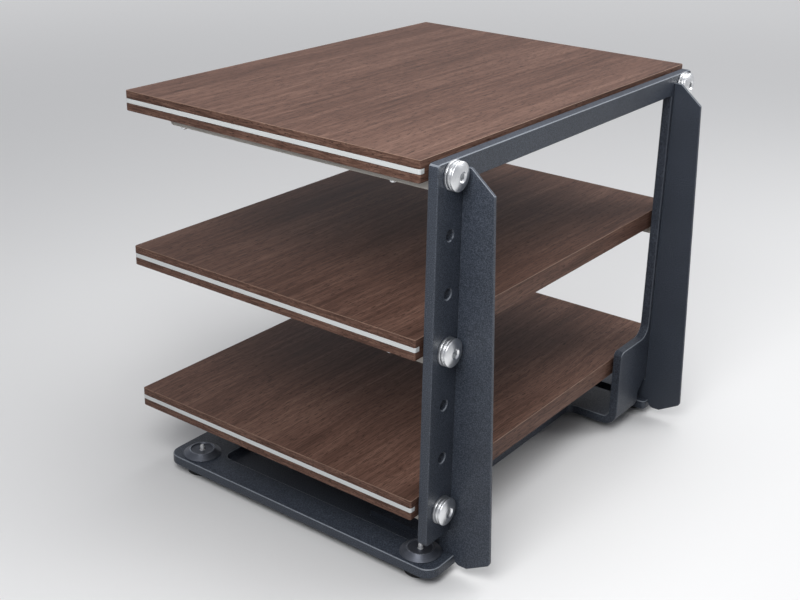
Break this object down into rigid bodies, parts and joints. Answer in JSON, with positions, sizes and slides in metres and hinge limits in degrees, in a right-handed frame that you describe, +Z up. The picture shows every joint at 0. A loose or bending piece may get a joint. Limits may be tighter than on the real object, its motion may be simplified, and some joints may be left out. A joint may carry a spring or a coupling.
{
  "type": "audio equipment rack",
  "caption": "Open rack with veneered shelves carried along one side by a bent steel plate frame, on a flat pocketed base with levelling feet.",
  "frame": {"origin": "on the floor under the middle of the whole rack", "axes": "+Z up, +X towards the steel posts, -Y towards the edge with the white inlay, Y along the shelves' long side"},
  "size_m": [0.526, 0.625, 0.525],
  "materials": {
    "coat": "fine textured powder coat",
    "veneer": "satin walnut veneer",
    "inlay": "satin white",
    "arm": "warm light grey satin",
    "bright_metal": "polished and turned",
    "turned_steel": "turned, blackened",
    "rubber": "matte"
  },
  "bodies": {
    "rack": {"main_frame": "coat", "base_floor": "coat", "fin_front": "coat", "fin_rear": "coat", "shelf_bottom": "veneer", "inlay_bottom": "inlay", "arm_bottom_front": "arm", "washer_bottom_front": "bright_metal", "bolt_bottom_front": "bright_metal", "screw_bottom_front_1": "bright_metal", "screw_bottom_front_2": "bright_metal", "arm_bottom_rear": "arm", "washer_bottom_rear": "bright_metal", "bolt_bottom_rear": "bright_metal", "screw_bottom_rear_1": "bright_metal", "screw_bottom_rear_2": "bright_metal", "shelf_middle": "veneer", "inlay_middle": "inlay", "arm_middle_front": "arm", "washer_middle_front": "bright_metal", "bolt_middle_front": "bright_metal", "screw_middle_front_1": "bright_metal", "screw_middle_front_2": "bright_metal", "arm_middle_rear": "arm", "washer_middle_rear": "bright_metal", "bolt_middle_rear": "bright_metal", "screw_middle_rear_1": "bright_metal", "screw_middle_rear_2": "bright_metal", "shelf_top": "veneer", "inlay_top": "inlay", "arm_top_front": "arm", "washer_top_front": "bright_metal", "bolt_top_front": "bright_metal", "screw_top_front_1": "bright_metal", "screw_top_front_2": "bright_metal", "arm_top_rear": "arm", "washer_top_rear": "bright_metal", "bolt_top_rear": "bright_metal", "screw_top_rear_1": "bright_metal", "screw_top_rear_2": "bright_metal"},
    "foot_front_free": {"stud_front_free": "bright_metal", "pad_front_free": "rubber"},
    "lock_front_free": {"disc_front_free": "turned_steel"},
    "foot_front_post": {"stud_front_post": "bright_metal", "pad_front_post": "rubber"},
    "lock_front_post": {"disc_front_post": "turned_steel"},
    "foot_rear_free": {"stud_rear_free": "bright_metal", "pad_rear_free": "rubber"},
    "lock_rear_free": {"disc_rear_free": "turned_steel"},
    "foot_rear_post": {"stud_rear_post": "bright_metal", "pad_rear_post": "rubber"},
    "lock_rear_post": {"disc_rear_post": "turned_steel"}
  },
  "joints": [
    {"name": "foot_height_front_free", "type": "slide", "parent": "rack", "child": "foot_front_free", "axis": [0, 0, -1], "range_m": [0, 0.01]},
    {"name": "lock_turn_front_free", "type": "hinge", "parent": "rack", "child": "lock_front_free", "pos_m": [-0.194, -0.2747, 0.0253], "axis": [0, 0, 1], "continuous": true},
    {"name": "foot_height_front_post", "type": "slide", "parent": "rack", "child": "foot_front_post", "axis": [0, 0, -1], "range_m": [0, 0.01]},
    {"name": "lock_turn_front_post", "type": "hinge", "parent": "rack", "child": "lock_front_post", "pos_m": [0.1757, -0.2747, 0.0253], "axis": [0, 0, 1], "continuous": true},
    {"name": "foot_height_rear_free", "type": "slide", "parent": "rack", "child": "foot_rear_free", "axis": [0, 0, -1], "range_m": [0, 0.01]},
    {"name": "lock_turn_rear_free", "type": "hinge", "parent": "rack", "child": "lock_rear_free", "pos_m": [-0.194, 0.2747, 0.0253], "axis": [0, 0, 1], "continuous": true},
    {"name": "foot_height_rear_post", "type": "slide", "parent": "rack", "child": "foot_rear_post", "axis": [0, 0, -1], "range_m": [0, 0.01]},
    {"name": "lock_turn_rear_post", "type": "hinge", "parent": "rack", "child": "lock_rear_post", "pos_m": [0.1757, 0.2747, 0.0253], "axis": [0, 0, 1], "continuous": true}
  ]
}
